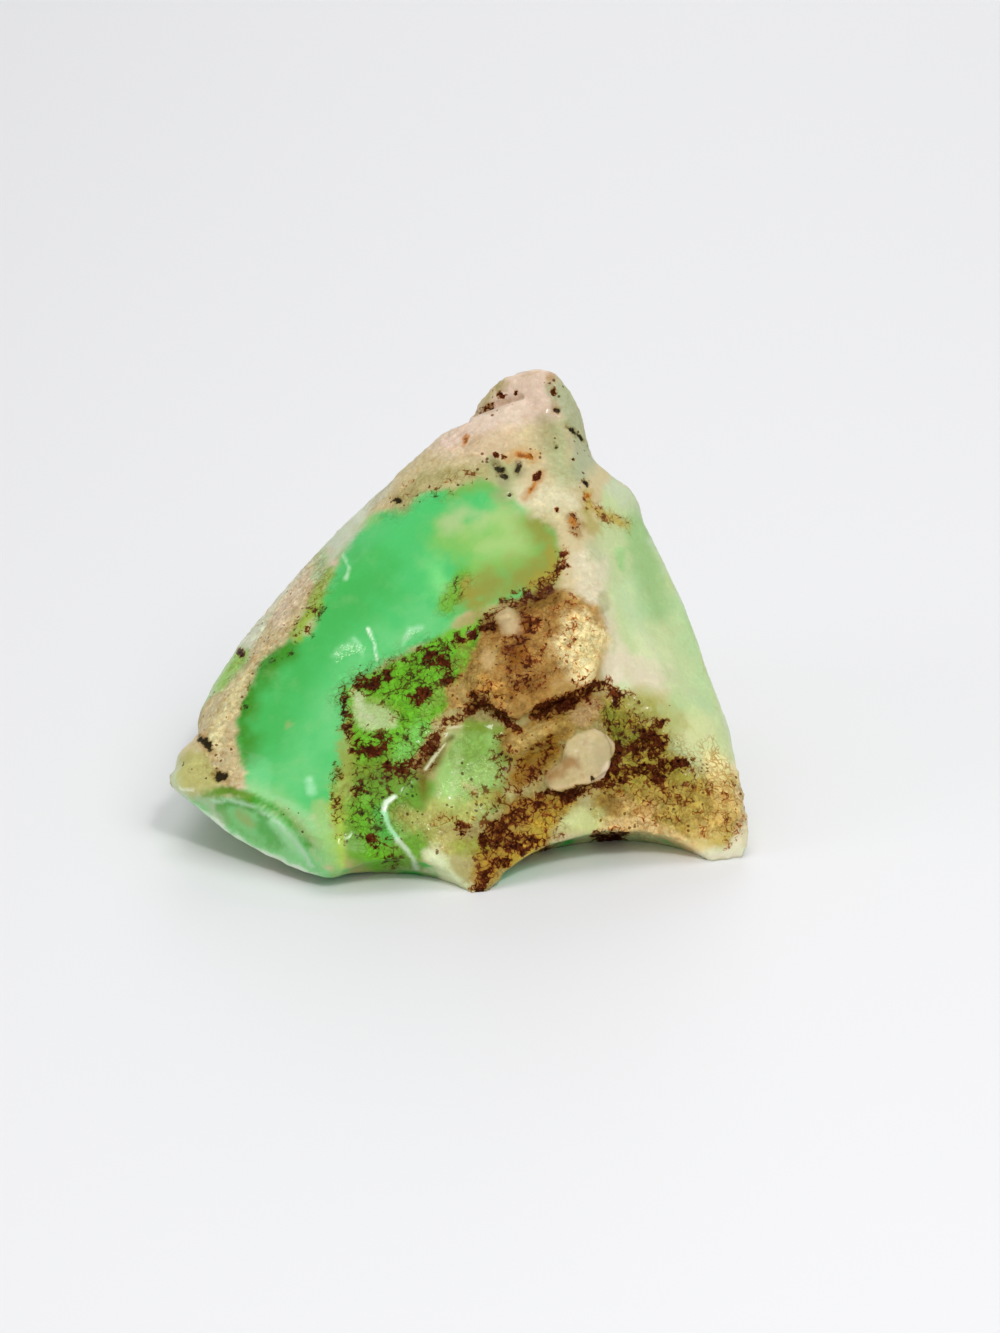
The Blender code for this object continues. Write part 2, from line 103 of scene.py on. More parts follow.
# Washes of colour on the shown side, from the first laid to the last: colour, path, half width, softness
# of the edge, and strength. A path is a text of x,y places in the frame's pixels: a stroke where it has a
# half width, and an outline where that is 0.
WASHES = dict(
    right_face=(PALE_GREEN, "560,430 660,500 760,860 590,850 600,640 590,520", 0, 14, 1),
    right_top=(GREY_GREEN, "590,452 640,500 665,560 640,520 600,490", 0, 8, 0.8),
    right_green_high=((32, 52, 21), "636,528 650,575 655,606", 15, 12, 0.9),
    right_green_mid=((54, 76, 42), "625,590 640,630", 10, 12, 0.5),
    right_green_left=((32, 60, 22), "621,550 622,566", 4, 4, 0.8),
    right_light=((70, 77, 44), "644,638 656,662", 11, 12, 0.8),
    right_green_edge=((43, 64, 32), "680,600 697,660 706,700", 12, 12, 0.65),
    right_green_low=((46, 66, 29), "668,700 690,716", 9, 12, 0.55),
    # Painted glow: a paler band along the right edge, where light shines through the thin stone.
    right_rim_painted_glow=((60, 68, 50), "655,540 700,630 732,730 742,775", 4, 5, 0.6),
    right_pale=(WHITE_CREAM, "618,664 640,674 658,680", 13, 12, 0.95),
    right_sand=((56, 48, 20), "642,696 662,700", 7, 8, 0.7),
    right_lemon=((68, 70, 35), "690,728 702,744 716,756 728,770", 15, 13, 0.85),
    lower=((42, 37, 14), "318,800 345,700 380,664 450,620 500,600 560,590 606,640 612,694 644,710 "
        "662,734 676,756 706,768 745,774 752,850 640,830 560,830 520,895 470,898 430,862 340,872 316,850",
        0, 6, 1),
    window=(EMERALD, "238,700 232,730 243,760 245,785 262,797 300,815 335,812 346,760 350,690 385,662 "
        "440,640 455,620 480,606 545,595 562,560 556,530 525,505 505,488 480,475 455,485 420,490 400,505 "
        "372,512 350,540 333,570 318,600 316,625 290,648 262,662 250,688", 0, 4, 1),
    window_left=(MID_GREEN, "262,730 290,680 330,625 365,580", 26, 30, 0.9),
    window_deep=((5, 28, 1.5), "286,652 264,672 250,692 241,722 246,760", 9, 13, 1),
    window_mint=((18, 64, 22), "296,790 318,750 335,700 360,660 430,625", 14, 24, 0.8),
    window_bright=((24, 76, 24), "436,572 446,588", 12, 14, 0.8),
    window_apple=((26, 55, 11), "466,540 520,530 525,555 480,570", 22, 22, 0.95),
    window_top=(MOSS, "455,488 500,484 512,500", 9, 12, 0.7),
    window_cloud=(CLOUD, "454,522 462,512 482,516", 9, 10, 0.85),
    window_haze=((44, 62, 22), "476,530 500,512 520,540 490,545", 12, 14, 0.75),
    window_olive=(OLIVE, "536,522 550,545 548,572 515,578 496,580 464,602", 13, 15, 0.95),
    window_brown=((42, 32, 3), "552,545 553,575 535,588", 4, 9, 0.6),
    window_corner=(APPLE, "352,524 372,518", 8, 8, 0.7),
    window_foot=((24, 60, 21), "255,792 285,806 312,830 328,858", 12, 9, 0.95),
    window_heel=((31, 57, 18), "320,806 324,826 334,848 338,876", 9, 5, 1),
    leaf=(LEAF, "346,690 385,668 430,640 448,632 480,622 482,640 468,690 440,715 400,770 352,770 350,730",
        0, 4, 1),
    leaf_high=((17, 44, 2), "446,606 456,590 462,574", 9, 6, 0.8),
    leaf_tan=((34, 30, 4), "466,582 472,600", 7, 7, 0.9),
    leaf_point=((34, 36, 5), "462,644 470,636", 5, 5, 0.7),
    leaf_mint=((20, 62, 10), "398,762 410,742 424,728", 8, 6, 0.9),
    leaf_turquoise=((22, 56, 6), "424,704 426,716", 5, 5, 0.8),
    leaf_edge=(MOSS, "436,700 446,676 462,654", 6, 6, 0.6),
    leaf_scratch=((80, 76, 52), "436,726 450,728 466,726", 0.9, 1, 0.8),
    leaf_low=((15, 36, 3), "345,765 400,768 440,780 440,830 420,868 345,864 335,830 342,790",
        0, 6, 1),
    leaf_low_green=(LEAF, "362,800 366,830 380,858", 12, 10, 0.85),
    leaf_low_mint=((10, 50, 7), "380,812 386,836 378,828", 7, 5, 0.95),
    leaf_low_right=((24, 52, 11), "396,818 403,832", 5, 4, 0.8),
    leaf_low_gold=((40, 58, 8), "346,784 336,804 340,830 342,862", 7, 7, 0.95),
    leaf_low_rust=((34, 38, 8), "348,728 344,752 350,776", 5, 5, 0.7),
    leaf_left=((30, 36, 6), "347,758 345,790 352,775", 8, 8, 0.8),
    leaf_low_brown=((16, 26, 2), "362,772 385,765 400,780", 10, 10, 0.7),
    pale_lump=((46, 62, 27), "352,690 360,689 370,700 388,704 397,714 393,728 374,733 360,727 "
        "352,710", 0, 4, 0.95),
    pale_lump_green=((20, 40, 3), "368,700 384,703 396,710", 4, 4, 0.85),
    pale_lump_light=((60, 68, 42), "356,694 364,716 378,723", 3, 4, 0.6),
    crest=(CREAM, "300,560 345,510 400,455 470,395 530,350 600,400 610,470 590,560 600,640 612,690 "
        "590,640 562,590 565,555 556,528 525,505 505,486 480,474 455,486 420,490 400,507 375,512", 0, 5, 1),
    crest_pink=(PINK, "450,436 490,412 515,405", 19, 12, 1),
    crest_rose=((64, 49, 31), "504,444 470,452", 14, 14, 0.85),
    crest_khaki=(KHAKI, "400,500 425,480 455,476 490,470", 9, 8, 0.9),
    crest_far=((60, 52, 36), "385,478 420,446 446,428", 6, 6, 0.8),
    crest_grey=((58, 66, 54), "352,520 375,496 385,486", 6, 6, 0.6),
    crest_moss=((35, 40, 17), "506,470 504,492", 11, 10, 0.8),
    knob=((70, 54, 42), "510,385 540,385 545,400", 26, 8, 1),
    knob_khaki=((37, 32, 11), "482,408 489,396 498,384", 6, 6, 0.8),
    knob_brown=((40, 24, 8), "551,378 556,395 557,410", 5, 5, 0.9),
    knob_side=((41, 45, 27), "562,392 574,416 584,445 582,470", 13, 8, 0.9),
    neck=((42, 47, 24), "556,430 558,452 564,482", 12, 10, 0.85),
    centre_tan=((36, 32, 15), "545,420 550,440", 9, 10, 0.75),
    centre_lemon=(PALE_CREAM, "525,498 552,494 570,500", 12, 12, 0.95),
    centre_white=(WHITE_CREAM, "590,560 594,600 606,640 612,670", 14, 8, 0.95),
    centre_green=((42, 52, 24), "592,545 598,555", 5, 6, 0.6),
    bubble=((42, 43, 21), "603,597 604,607", 6, 2.5, 0.75),
    bubble_light=((60, 60, 34), "602,599 603,604", 2, 2.5, 0.6),
    bubble_low=((46, 50, 26), "612,636 615,646 613,652", 2, 3, 0.5),
    summit_grey=((34, 33, 17), "492,458 498,470 505,480", 5, 5, 0.75),
    summit_smear=((26, 23, 10), "517,462 520,474", 4, 4, 0.7),
    summit_rust=((62, 38, 14), "508,458 522,452 536,458", 5, 5, 0.75),
    summit_streak=((50, 25, 8), "542,472 534,486 526,498", 4, 4, 0.8),
    # The next two washes are painted shade and light: a dark line in the crease under the knob, and a lit
    # band just below it.
    crease_painted_shade=((46, 31, 16), "474,413 488,408 504,401 521,397", 1.5, 1.5, 0.5),
    crest_painted_light=((76, 61, 48), "482,424 500,414 522,406", 7, 4, 0.8),
    gold_streak=((50, 37, 5.5), "588,494 590,508 606,516 622,524", 6, 5, 0.85),
    gold_shade=((44, 38, 10), "588,512 594,526", 6, 6, 0.8),
    rust=((35, 21, 6), "572,518 578,532", 5, 5, 0.85),
    mound=(TAN, "446,712 452,690 470,665 482,630 505,606 545,596 560,588 600,606 608,640 600,682 580,694 "
        "545,706 514,724 492,706 474,694", 0, 4, 1),
    mound_pale=((98, 88, 48), "578,622 590,640 580,672 570,644", 14, 9, 0.95),
    mound_amber=((26, 10, 0.5), "524,618 520,645 512,664", 10, 10, 0.95),
    mound_crown=((20, 11, 1.2), "492,630 508,612 532,604 552,594", 8, 7, 0.85),
    mound_rose=((42, 28, 7.5), "460,694 478,664 487,655", 11, 7, 0.95),
    mound_lip=((72, 44, 11), "486,684 500,692", 7, 6, 0.75),
    mound_front=((30, 14, 2), "514,690 528,684 540,690", 8, 7, 0.75),
    pebble_high=((58, 44, 24), "507,619 509,625", 11, 7, 0.85),
    pebble_low=((60, 41, 17), "488,656 489,664", 7, 4, 0.9),
    pebble_left=((58, 42, 15), "458,690 464,700", 8, 5, 0.9),
    basin=((35, 60, 17), "452,736 470,728 498,730 510,750 508,780 500,806 484,820 456,820 436,806 "
        "432,784 440,760", 0, 8, 0.95),
    basin_light=((25, 47, 8), "464,758 480,745", 12, 10, 0.85),
    basin_brown=((20, 26, 3), "504,742 504,775 496,800", 7, 9, 0.85),
    basin_moss=((19, 31, 2), "468,726 488,727 508,731", 5, 4, 0.9),
    basin_edge=((18, 10, 0.8), "424,800 424,772 440,748", 6, 7, 0.8),
    basin_tan=((46, 34, 5), "478,802 496,796", 8, 7, 0.7),
    basin_rose=((66, 52, 26), "466,786 474,790", 4, 4, 0.6),
    basin_ridge=((14, 12, 0.8), "452,737 440,748 427,767", 2.5, 2, 0.85),
    basin_scratch=((80, 80, 52), "445,744 435,756 425,770", 1.1, 1, 0.9),
    basin_streak=((46, 66, 26), "458,752 456,776 452,796", 3, 4, 0.6),
    basin_foot=((50, 52, 14), "434,806 450,820 474,812", 12, 10, 0.8),
    glitter=((54, 50, 16), "404,812 425,822 445,845", 12, 10, 0.7),
    ledge=((36, 23, 5), "516,738 560,726 592,706", 15, 5, 1),
    ledge_top=((55, 38, 12), "518,744 530,732 546,730", 8, 5, 0.9),
    ledge_end=((56, 37, 18), "582,716 594,706", 8, 6, 0.8),
    under_ledge=((34, 19, 1.2), "518,778 534,762 552,748", 13, 7, 0.9),
    crust=((40, 36, 5), "604,696 650,702 664,716 669,738 671,752 684,762 700,776 718,800 600,800 "
        "606,740", 0, 6, 1),
    crust_lemon=((42, 42, 12), "640,708 672,722", 12, 10, 0.7),
    crust_green=((20, 26, 2), "612,716 622,742 640,735", 9, 8, 0.8),
    flake=((56, 44, 22), "545,782 548,773 557,766 563,761 564,751 567,743 577,734 593,730 605,735 "
        "614,744 614,752 609,759 608,767 603,777 592,782 580,784 568,788 560,791 551,790", 0, 1.5, 1),
    flake_pale=((54, 44, 24), "582,741 598,748 598,760", 7, 5, 0.8),
    flake_end=((35, 19, 6), "552,778 562,772 572,762", 6, 5, 0.9),
    flake_grey=((60, 50, 27), "572,750 582,756 590,766", 5, 4, 0.8),
    flake_light=((86, 72, 50), "594,779 602,775 608,764", 2.5, 2, 0.8),
    # Painted light: the flake's lower edge, which faces down, is painted lighter.
    flake_low_painted_light=((80, 60, 34), "554,788 570,785 584,780 594,778", 3, 2.5, 0.7),
    flake_rim=((66, 53, 34), "593,731 604,736 612,745", 2, 2, 0.7),
    flake_crack=((38, 24, 10), "588,738 580,750 577,764 583,778", 0.9, 1.5, 0.5),
    tan_low=((52, 41, 9), "588,790 640,784 700,782 742,762 752,820 735,850 690,842 640,822 "
        "600,812", 0, 8, 1),
    tan_rose=((70, 44, 16), "624,804 640,814 650,806", 8, 8, 0.75),
    tan_left=((28, 17, 3), "602,800 614,808", 7, 6, 0.8),
    tan_cream=((92, 78, 36), "716,764 726,790 738,800", 9, 9, 0.8),
    tan_cells=((76, 56, 19), "700,836 722,812 726,796", 13, 10, 0.8),
    corner_high=((78, 70, 40), "736,766 741,786", 7, 6, 0.85),
    rim=((84, 62, 28), "600,828 640,824 672,838 700,852", 7, 6, 0.9),
    rim_left=((60, 64, 26), "548,812 566,816 592,824", 12, 7, 0.95),
    corner=((82, 80, 58), "700,860 735,856 746,830", 8, 6, 0.9),
    corner_edge=((70, 62, 40), "742,790 748,815 746,840", 5, 5, 0.85),
    band=((42, 28, 3.5), "600,782 545,792 515,800 492,822 474,850 470,892 505,872 545,852 552,826",
        0, 6, 1),
    band_gold=((56, 42, 5), "530,834 546,818 524,856 508,864", 8, 6, 0.9),
    tip=((68, 74, 44), "432,856 444,870 460,886 470,896", 9, 5, 1),
    tip_olive=((36, 44, 4.5), "462,846 484,845", 9, 9, 0.75),
    facet=((21, 58, 20), "176,790 206,797 240,797 262,804 282,818 300,836 316,858 334,876 300,880 "
        "240,850 180,806", 0, 3, 1),
    facet_low=((28, 64, 26), "232,838 262,856 300,872 322,876", 6, 6, 0.8),
    facet_grey=((40, 52, 30), "196,798 212,806 222,818", 7, 6, 0.9),
    facet_ring=((6, 28, 1.5), "220,806 240,802 262,812 276,828 282,842", 3, 4, 0.95),
    facet_ring_low=((14, 42, 8.5), "221,808 232,824 250,838 270,846", 3, 4, 0.8),
    facet_deep=((9, 42, 7), "262,826 272,838", 8, 6, 0.95),
    facet_tan=((30, 43, 12), "240,815 250,824", 6, 4, 0.85),
    facet_streak=((32, 70, 31), "272,822 288,838 302,854", 4, 4, 0.85),
    # A painted highlight along the ridge at the top of the facet.
    facet_edge_highlight=((46, 68, 44), "206,801 232,800 252,806 270,816 288,833 302,849 312,866",
        1.6, 1.5, 0.8),
    facet_lip=((84, 92, 76), "186,800 206,813 226,830 250,846 290,866 318,876", 2, 2, 0.8),
    # The next two washes are painted shadow: the dark band along the top of the facet, under the nose and the
    # rind.
    facet_painted_shadow_olive=((11, 27, 1), "204,792 232,791 254,799", 4.5, 3, 0.95),
    facet_painted_shadow_green=((5, 33, 2), "256,800 276,809 296,828 310,846", 3, 2.5, 0.95),
    facet_specks=((34, 40, 16), "278,804 300,824 318,846", 3, 4, 0.6),
    nose=((49, 47, 17), "188,778 205,768", 20, 6, 1),
    nose_rim=(GREY_GREEN, "180,754 172,776 175,788 186,796", 4, 4, 0.9),
    strip=((66, 70, 52), "215,680 262,618 312,556 350,515", 15, 6, 1),
    strip_green=((34, 58, 14), "218,682 240,658", 11, 6, 1),
    strip_grey=(GREY_GREEN, "318,560 350,525", 8, 8, 0.8),
    ridge=(CREAM, "196,742 214,730 210,702 228,688 246,668 254,645 276,612 300,580 318,556 332,548 "
        "326,572 312,596 300,622 284,642 262,656 250,680 238,704 236,740 242,786 226,784 212,762", 0, 4, 1),
    ridge_pink=((74, 62, 44), "276,616 290,602 306,576", 8, 8, 0.9),
    ridge_white=((76, 70, 38), "214,742 222,712 232,694 246,676", 7, 6, 0.8),
    ridge_moss=((30, 44, 5), "298,634 313,606 328,570", 6, 5, 0.95),
    ridge_mint=((46, 64, 36), "324,558 317,576", 6, 5, 0.85),
    # The last washes are pale, glassy spots and edges with painted highlights on them: glints on the window's
    # arc, nicks, lens and curl, on the chip's edge and on the nose's rim.
    window_arc=((80, 95, 74), "368,630 374,643 377,660", 1.1, 1.3, 0.95),
    window_sparkling_nicks=((34, 76, 38), "334,657 347,648 356,640 362,655", 3, 4, 0.5),
    window_sparkling_nick=((40, 78, 44), "404,645 410,630 420,627", 2.5, 3, 0.7),
    window_lens=((36, 78, 42), "309,781 312,793", 5, 3.5, 0.9),
    window_curl_glint=((52, 82, 50), "343,556 349,568 346,578", 1.6, 2, 0.7),
    chip_middle=((42, 80, 46), "384,812 389,826 397,838", 2.8, 1.5, 0.85),
    chip_edge=((76, 90, 70), "395,797 387,802 384,809", 2.8, 1.5, 1),
    chip_foot=((56, 68, 48), "398,841 407,850 413,858 416,867", 3, 2, 0.85),
    nose_glint=((80, 84, 64), "180,789 194,790", 1.3, 1.2, 0.8),
)

# Sandy rind: path, half width, and strength.
RIND = dict(
    basin=("470,755 485,800", 24, 0.45),
    ridge=("216,760 216,725 232,690 262,645 292,602 314,566", 15, 0.95),
    ridge_foot=("226,740 232,778", 13, 0.9),
    crest=("385,495 420,462 455,448", 26, 0.5),
    crest_top=("475,440 520,440", 26, 0.25),
    knob=("500,392 545,392 570,430", 26, 0.25),
    centre=("545,450 560,510", 24, 0.3),
    white=("585,560 600,640", 12, 0.25),
    mound=("480,680 520,650 565,635", 42, 1),
    lip=("478,690 512,712 560,698", 12, 1),
    ledge=("520,745 595,712", 18, 1),
    under_ledge=("520,775 552,752", 14, 0.9),
    crust=("620,740 655,762 640,790", 32, 0.8),
    tan_low=("620,808 690,815 735,800", 28, 1),
    band=("560,792 505,830 485,875", 24, 0.9),
    leaf=("365,700 430,675 400,750", 34, 0.6),
    leaf_low=("360,800 400,840", 30, 0.6),
    glitter=("410,815 445,835 480,825", 20, 0.7),
    nose=("195,775 215,770", 12, 0.4),
)

# Fine ridges and grooves of the shown side: path, half width, and height in millimetres.
RIDGES = dict(
    chip_edge=("395,797 386,805 384,816 390,832 402,846 411,854 416,866", 3, 0.12),
    chip_hollow=("395,808 396,826 408,840 420,852", 4, -0.12),
    window_arc=("367,629 373,642 377,660", 1.5, 0.08),
    window_nick_a=("334,657 341,656 347,648", 2, 0.07),
    window_nick_b=("352,640 358,646 362,655", 2, 0.07),
    window_nick_c=("404,645 410,630", 2, 0.06),
    window_lens=("309,784 312,794", 4, 0.08),
    thin_arc=("343,556 349,568 346,578", 1.5, 0.06),
    ledge_line=("262,797 290,812 308,832 322,852", 2, 0.12),
    ledge_under=("256,800 284,818 302,840", 2.5, -0.1),
    facet_rim=("200,797 235,795 262,804 292,826 318,866", 2, 0.1),
    nose_rim=("178,788 196,790", 1.5, 0.08),
    leaf_scratch=("438,722 450,727 470,727", 1.5, 0.1),
    crevice=("476,696 490,706 506,720 518,724", 2, -0.15),
    flake_dents=("580,752 572,766 584,770", 3, -0.04),
    flake_fold=("566,758 580,764", 2, -0.04),
    tip_fold=("428,850 440,866", 2, 0.1),
    rim_crack=("602,836 618,836", 1.5, -0.15),
    crease_edge=("474,420 490,414 506,408 521,403", 3, 0.16),
    crease=("474,414 488,408 504,402 521,397", 2.5, -0.35),
    knob_groove=("548,384 554,402 556,418", 2, -0.08),
)

# Soft lumps and notches of the skyline: place, reach and height, in millimetres.
SWELLS = dict(
    knob_peak=((5.5, 10.4, 30.3), 1.4, 0.12),
    knob_notch=((7.8, 11, 28.8), 1.5, -0.45),
    neck_high=((8.9, 10.8, 26.8), 1.7, 0.25),
    neck=((9.2, 12.2, 25), 1.9, 0.32),
    neck_low=((9.5, 12.4, 23.3), 1.5, 0.25),
    shoulder_high=((11.6, 8.1, 22.2), 2.2, 0.22),
    shoulder_low=((12.7, 7.6, 21.1), 2.1, 0.45),
    nose_side=((-20.3, -7.3, 6.3), 1.7, 0.4),
    nose_tip=((-20.9, -8.9, 5.2), 1.4, 0.2),
)

# Red-brown dendrites and dark stains, with a few strokes of painted shade: path, half width, and strength.
# Above about 0.8 they are solid, and at 0.3 they are a thin lace.
DENDRITES_AND_SHADE = dict(
    left_arm=("358,686 374,683 384,677", 3.5, 0.96),
    left_net=("348,690 372,682 400,664", 5, 0.42),
    upper_knot=("430,655 440,660 448,674", 4, 0.96),
    upper_point=("452,646 457,641", 2.5, 0.88),
    upper_bead=("473,636 480,630", 2.5, 0.82),
    upper_link=("484,626 494,614", 4, 0.66),
    upper_net=("352,686 380,668 412,652 440,644", 3, 0.4),
    leaf_net=("400,674 426,670 440,664", 20, 0.35),
    middle_knot=("416,698 422,694", 4, 0.98),
    middle_net=("390,690 420,712 400,740", 22, 0.31),
    lump_rim=("344,692 346,712 346,724 354,738 362,746", 2, 0.74),
    lump_foot=("358,748 370,751 380,750", 2.5, 0.98),
    lump_net=("362,736 384,736 390,752", 8, 0.46),
    lower_arm=("388,768 402,767 416,760 426,750 438,736", 2.5, 0.86),
    lower_link=("438,736 448,722 464,714 478,702", 2.5, 0.7),
    lower_net=("360,770 390,776 420,765", 12, 0.42),
    lower_drop=("386,770 392,790", 4, 0.46),
    low_spot=("354,791 362,790", 1.5, 0.86),
    low_knot=("372,840 382,842", 3.5, 0.72),
    low_foot=("388,858 394,862", 3, 0.66),
    low_dots=("350,806 370,800 366,826 392,850", 14, 0.29),
    # The next two crevice strokes, under the mound's lip, are partly stain and partly painted shadow.
    crevice_left=("474,694 488,704 506,720 516,727", 2, 0.86),
    crevice_right=("540,712 556,706 572,700 588,690", 2.5, 0.98),
    crevice_end=("592,688 606,690 618,698 612,716 612,730", 5, 0.54),
    crevice_knot=("602,686 612,692", 3.5, 0.96),
    mound_crown=("492,622 504,606 530,594 548,584", 7, 0.6),
    mound_beads=("548,584 556,574 563,566 563,552", 2.5, 0.62),
    mound_brown=("528,620 514,640 517,660 522,680", 12, 0.46),
    mound_net=("564,606 556,655 530,680", 14, 0.33),
    mound_pale_net=("580,620 585,660", 16, 0.14),
    mound_spot=("574,680 582,676", 2, 0.7),
    lip_net=("482,686 500,700", 6, 0.46),
    ledge_foot=("522,768 540,756 556,744", 8, 0.46),
    ledge_left=("514,786 528,790 538,776", 7, 0.56),
    basin_net=("500,740 506,776 490,806", 9, 0.42),
    basin_dots=("470,790 486,800", 10, 0.3),
    crust_knot=("636,748 650,738 662,743", 5, 0.94),
    crust_high=("646,734 660,722", 3, 0.76),
    crust_arm=("606,782 630,772 652,767 684,764", 3.5, 0.88),
    crust_drop=("652,750 656,776", 3.5, 0.84),
    crust_net=("616,706 640,740 664,764", 18, 0.42),
    crust_right=("684,766 700,784 714,800", 4, 0.36),
    crust_low=("616,790 660,792 700,790", 10, 0.36),
    corner_net=("650,806 700,805 730,800 716,830", 20, 0.26),
    # Painted shadow round the flake's right and lower edges.
    flake_shade=("616,748 610,771 594,788 562,797", 2, 0.95),
    band_knot=("498,838 512,840 522,846", 6, 0.84),
    band_end=("536,838 544,846", 3, 0.62),
    band_arm=("486,838 502,824 518,814 536,802 560,793 590,788", 6, 0.78),
    band_foot=("482,876 492,866 506,862", 3, 0.74),
    band_point=("478,890 484,880", 3, 0.74),
    band_net=("490,860 520,830 548,830", 15, 0.38),
    basin_knot=("458,828 472,833", 4, 0.74),
    basin_low=("440,822 470,826 490,822", 8, 0.36),
    rim_crack=("600,837 620,837", 2, 0.95),
    ridge_moss=("300,634 316,606", 6, 0.44),
    ridge_spot=("306,632 308,628", 3, 0.72),
    window_edge=("240,706 244,690 262,668 290,650", 2, 0.34),
    crest_dots=("405,488 445,490 470,476", 7, 0.26),
    # Painted shade: a dark line in the crease under the knob.
    crease=("474,413 486,407", 2, 0.4),
    gold_lace=("586,484 590,506 606,516 622,524", 5, 0.31),
    rust_spot=("572,518 576,528", 3, 0.52),
    heel_net=("338,766 336,800 342,840", 4, 0.46),
    leaf_high=("450,604 462,582", 6, 0.24),
)

# Lace of thin brown lines round grains, and pin-point specks: path, half width, and strength.
LACE = dict(
    corner=("640,806 690,806 722,790 716,820", 20, 0.75),
    crust=("620,722 656,754 696,786", 26, 0.6),
    mound=("500,660 560,640", 40, 0.45),
    leaf=("370,700 430,670 400,750 370,820", 34, 0.6),
    band=("500,850 540,820", 28, 0.7),
    gold=("588,500 606,516 622,524", 8, 0.8),
    basin=("470,755 485,800", 24, 0.25),
    crest=("395,500 440,488 475,470", 10, 0.5),
    moss=("300,630 326,575", 9, 0.7),
    corner_high=("712,752 728,780", 12, 0.8),
    leaf_high=("448,606 462,580", 10, 0.7),
)
SPECKS = dict(
    ridge=("216,760 216,725 232,690 262,645 296,602", 14, 0.55),
    crest=("400,500 440,485 480,468", 12, 0.5),
    knob=("488,404 498,390 515,392", 9, 0.95),
    knob_right=("552,380 557,410", 6, 0.95),
    summit=("495,455 520,470 535,460", 14, 0.6),
    flank=("566,425 584,470 590,500", 10, 0.35),
    mound=("500,660 540,650", 38, 0.9),
    ledge=("520,770 590,715", 20, 0.7),
    leaf=("370,700 430,670 400,750 370,820", 34, 0.7),
    glitter=("408,810 440,835 480,815", 22, 0.9),
    basin=("470,780 495,800", 18, 0.6),
    crust=("620,720 656,752 696,790", 28, 0.9),
    right=("655,700 680,730", 12, 0.35),
    corner=("620,806 690,812 730,800", 26, 0.8),
    band=("560,800 500,850", 26, 0.8),
    facet=("284,812 318,850", 5, 0.7),
    nose=("190,775 225,765", 16, 0.35),
    window_edge=("338,760 342,700", 8, 0.3),
)

# Single marks of each kind: x, y, half length and half width in pixels, and tilt in degrees.
MARKS = dict(
    black=dict(
        nose_high=(206, 744, 11, 4.5, 52), nose_low=(220, 776, 8, 5.5, 10),
        crest_left=(397, 500, 4, 3, 20), summit_a=(499, 469, 9, 4.5, 55),
        summit_b=(504, 477, 4, 3, 20), summit_c=(518, 468, 6, 3.5, -70),
        summit_f=(510, 494, 2.5, 2, 0), knob_e=(557, 410, 4, 2.2, 40),
        flank_a=(572, 430, 8, 2.6, 50), flank_b=(580, 437, 6, 2, 50),
        flank_c=(590, 445, 2.5, 2, 0), flank_d=(586, 483, 5, 1.8, 60),
        flank_e=(556, 446, 2, 3, 0), flake_dot=(591, 778, 2.5, 2, 0),
    ),
    brown=dict(
        summit_d=(496, 455, 3, 2.5, 0), summit_e=(504, 456, 2.5, 2.5, 0),
        summit_gold_dot=(530, 458, 3, 3, 0), red_high=(538, 476, 5, 3, -60),
        centre_dot=(557, 511, 3, 2.5, 0), centre_low_a=(563, 554, 3.5, 3, 0),
        centre_low_b=(562, 567, 3, 3, 0), knob_a=(501, 396, 3, 2.5, 0),
        knob_b=(516, 392, 2.5, 2.5, 0), knob_c=(487, 406, 6, 2.2, -35),
        knob_d=(554, 392, 2.5, 3.5, 0), flank_f=(572, 460, 2.5, 1.8, 0),
        strip_brown=(240, 652, 5, 3, 60),
    ),
    rust=dict(
        summit_gold=(524, 456, 8, 3, 12), orange=(465, 440, 6, 2.6, -70),
        red_low=(532, 488, 7, 2, -60), centre_rust=(573, 522, 5, 3, 60),
        gold_dot=(588, 496, 3, 3.5, 0),
    ),
    faint=dict(
        strip_dark=(318, 551, 4, 2, -40), window_dot=(288, 724, 4, 5, 0),
    ),
)

# Places whose faces are split once more, since they are the busiest.
BUSY = dict(
    front="338,690 385,655 455,572 480,600 560,545 580,590 612,610 625,690 690,705 745,765 758,855 "
        "700,862 560,850 480,902 425,870 338,870",
    summit="380,505 470,410 490,372 545,360 590,430 630,520 560,560 500,500",
    ridge="180,795 205,680 330,540 340,575 300,650 250,700 250,800",
    window="326,672 326,628 366,620 424,620 424,650 384,672",
    window_curl_glint="334,548 358,548 358,586 334,586",
    window_foot="298,772 320,772 320,802 298,802",
)

# Glassy places, by the names of their washes, each with how clear it is.
CLEAR = dict(
    window=1, facet=1, right_face=0.6, right_top=0.6, basin=0.45, flake=0.35,
    chip_edge=1, nose_rim=1, pale_lump=0.6, leaf_mint=0.6,
)

# Places where nothing grows on the skin: the name of the wash, its soft edge and how bare it is.
BARE = dict(
    chip_edge=(2, 1), chip_middle=(2, 1), chip_foot=(2, 1), nose_rim=(4, 1),
    flake=(2, 1), facet=(3, 1), pebble_high=(3, 1), pebble_low=(4, 0.8),
    pale_lump=(5, 0.6), basin_scratch=(2, 0.8), leaf_scratch=(2, 0.8),
)

# Where small bright flaws sparkle, as painted glints: path, half width, and strength.
GLINTS = dict(
    window_high=("338,657 350,648 362,650", 7, 1.3),
    window_arc=("368,630 374,642 377,662", 2, 0.8),
    window_right=("408,634 418,629", 5, 1),
    window_edge=("326,812 336,775 340,730", 7, 0.5),
    facet_line=("266,800 292,818 312,846", 4, 0.7),
    glitter=("404,806 424,822 442,842", 10, 1),
    basin=("448,792 468,778 492,768", 15, 1.1),
    ledge=("516,745 550,732 592,712", 10, 0.6),
    mound=("490,690 520,660 570,640", 30, 0.35),
    crust=("612,720 640,740 664,756", 24, 0.35),
    low=("600,808 650,812 710,808", 20, 0.4),
    tip=("430,852 446,866", 6, 0.7),
)

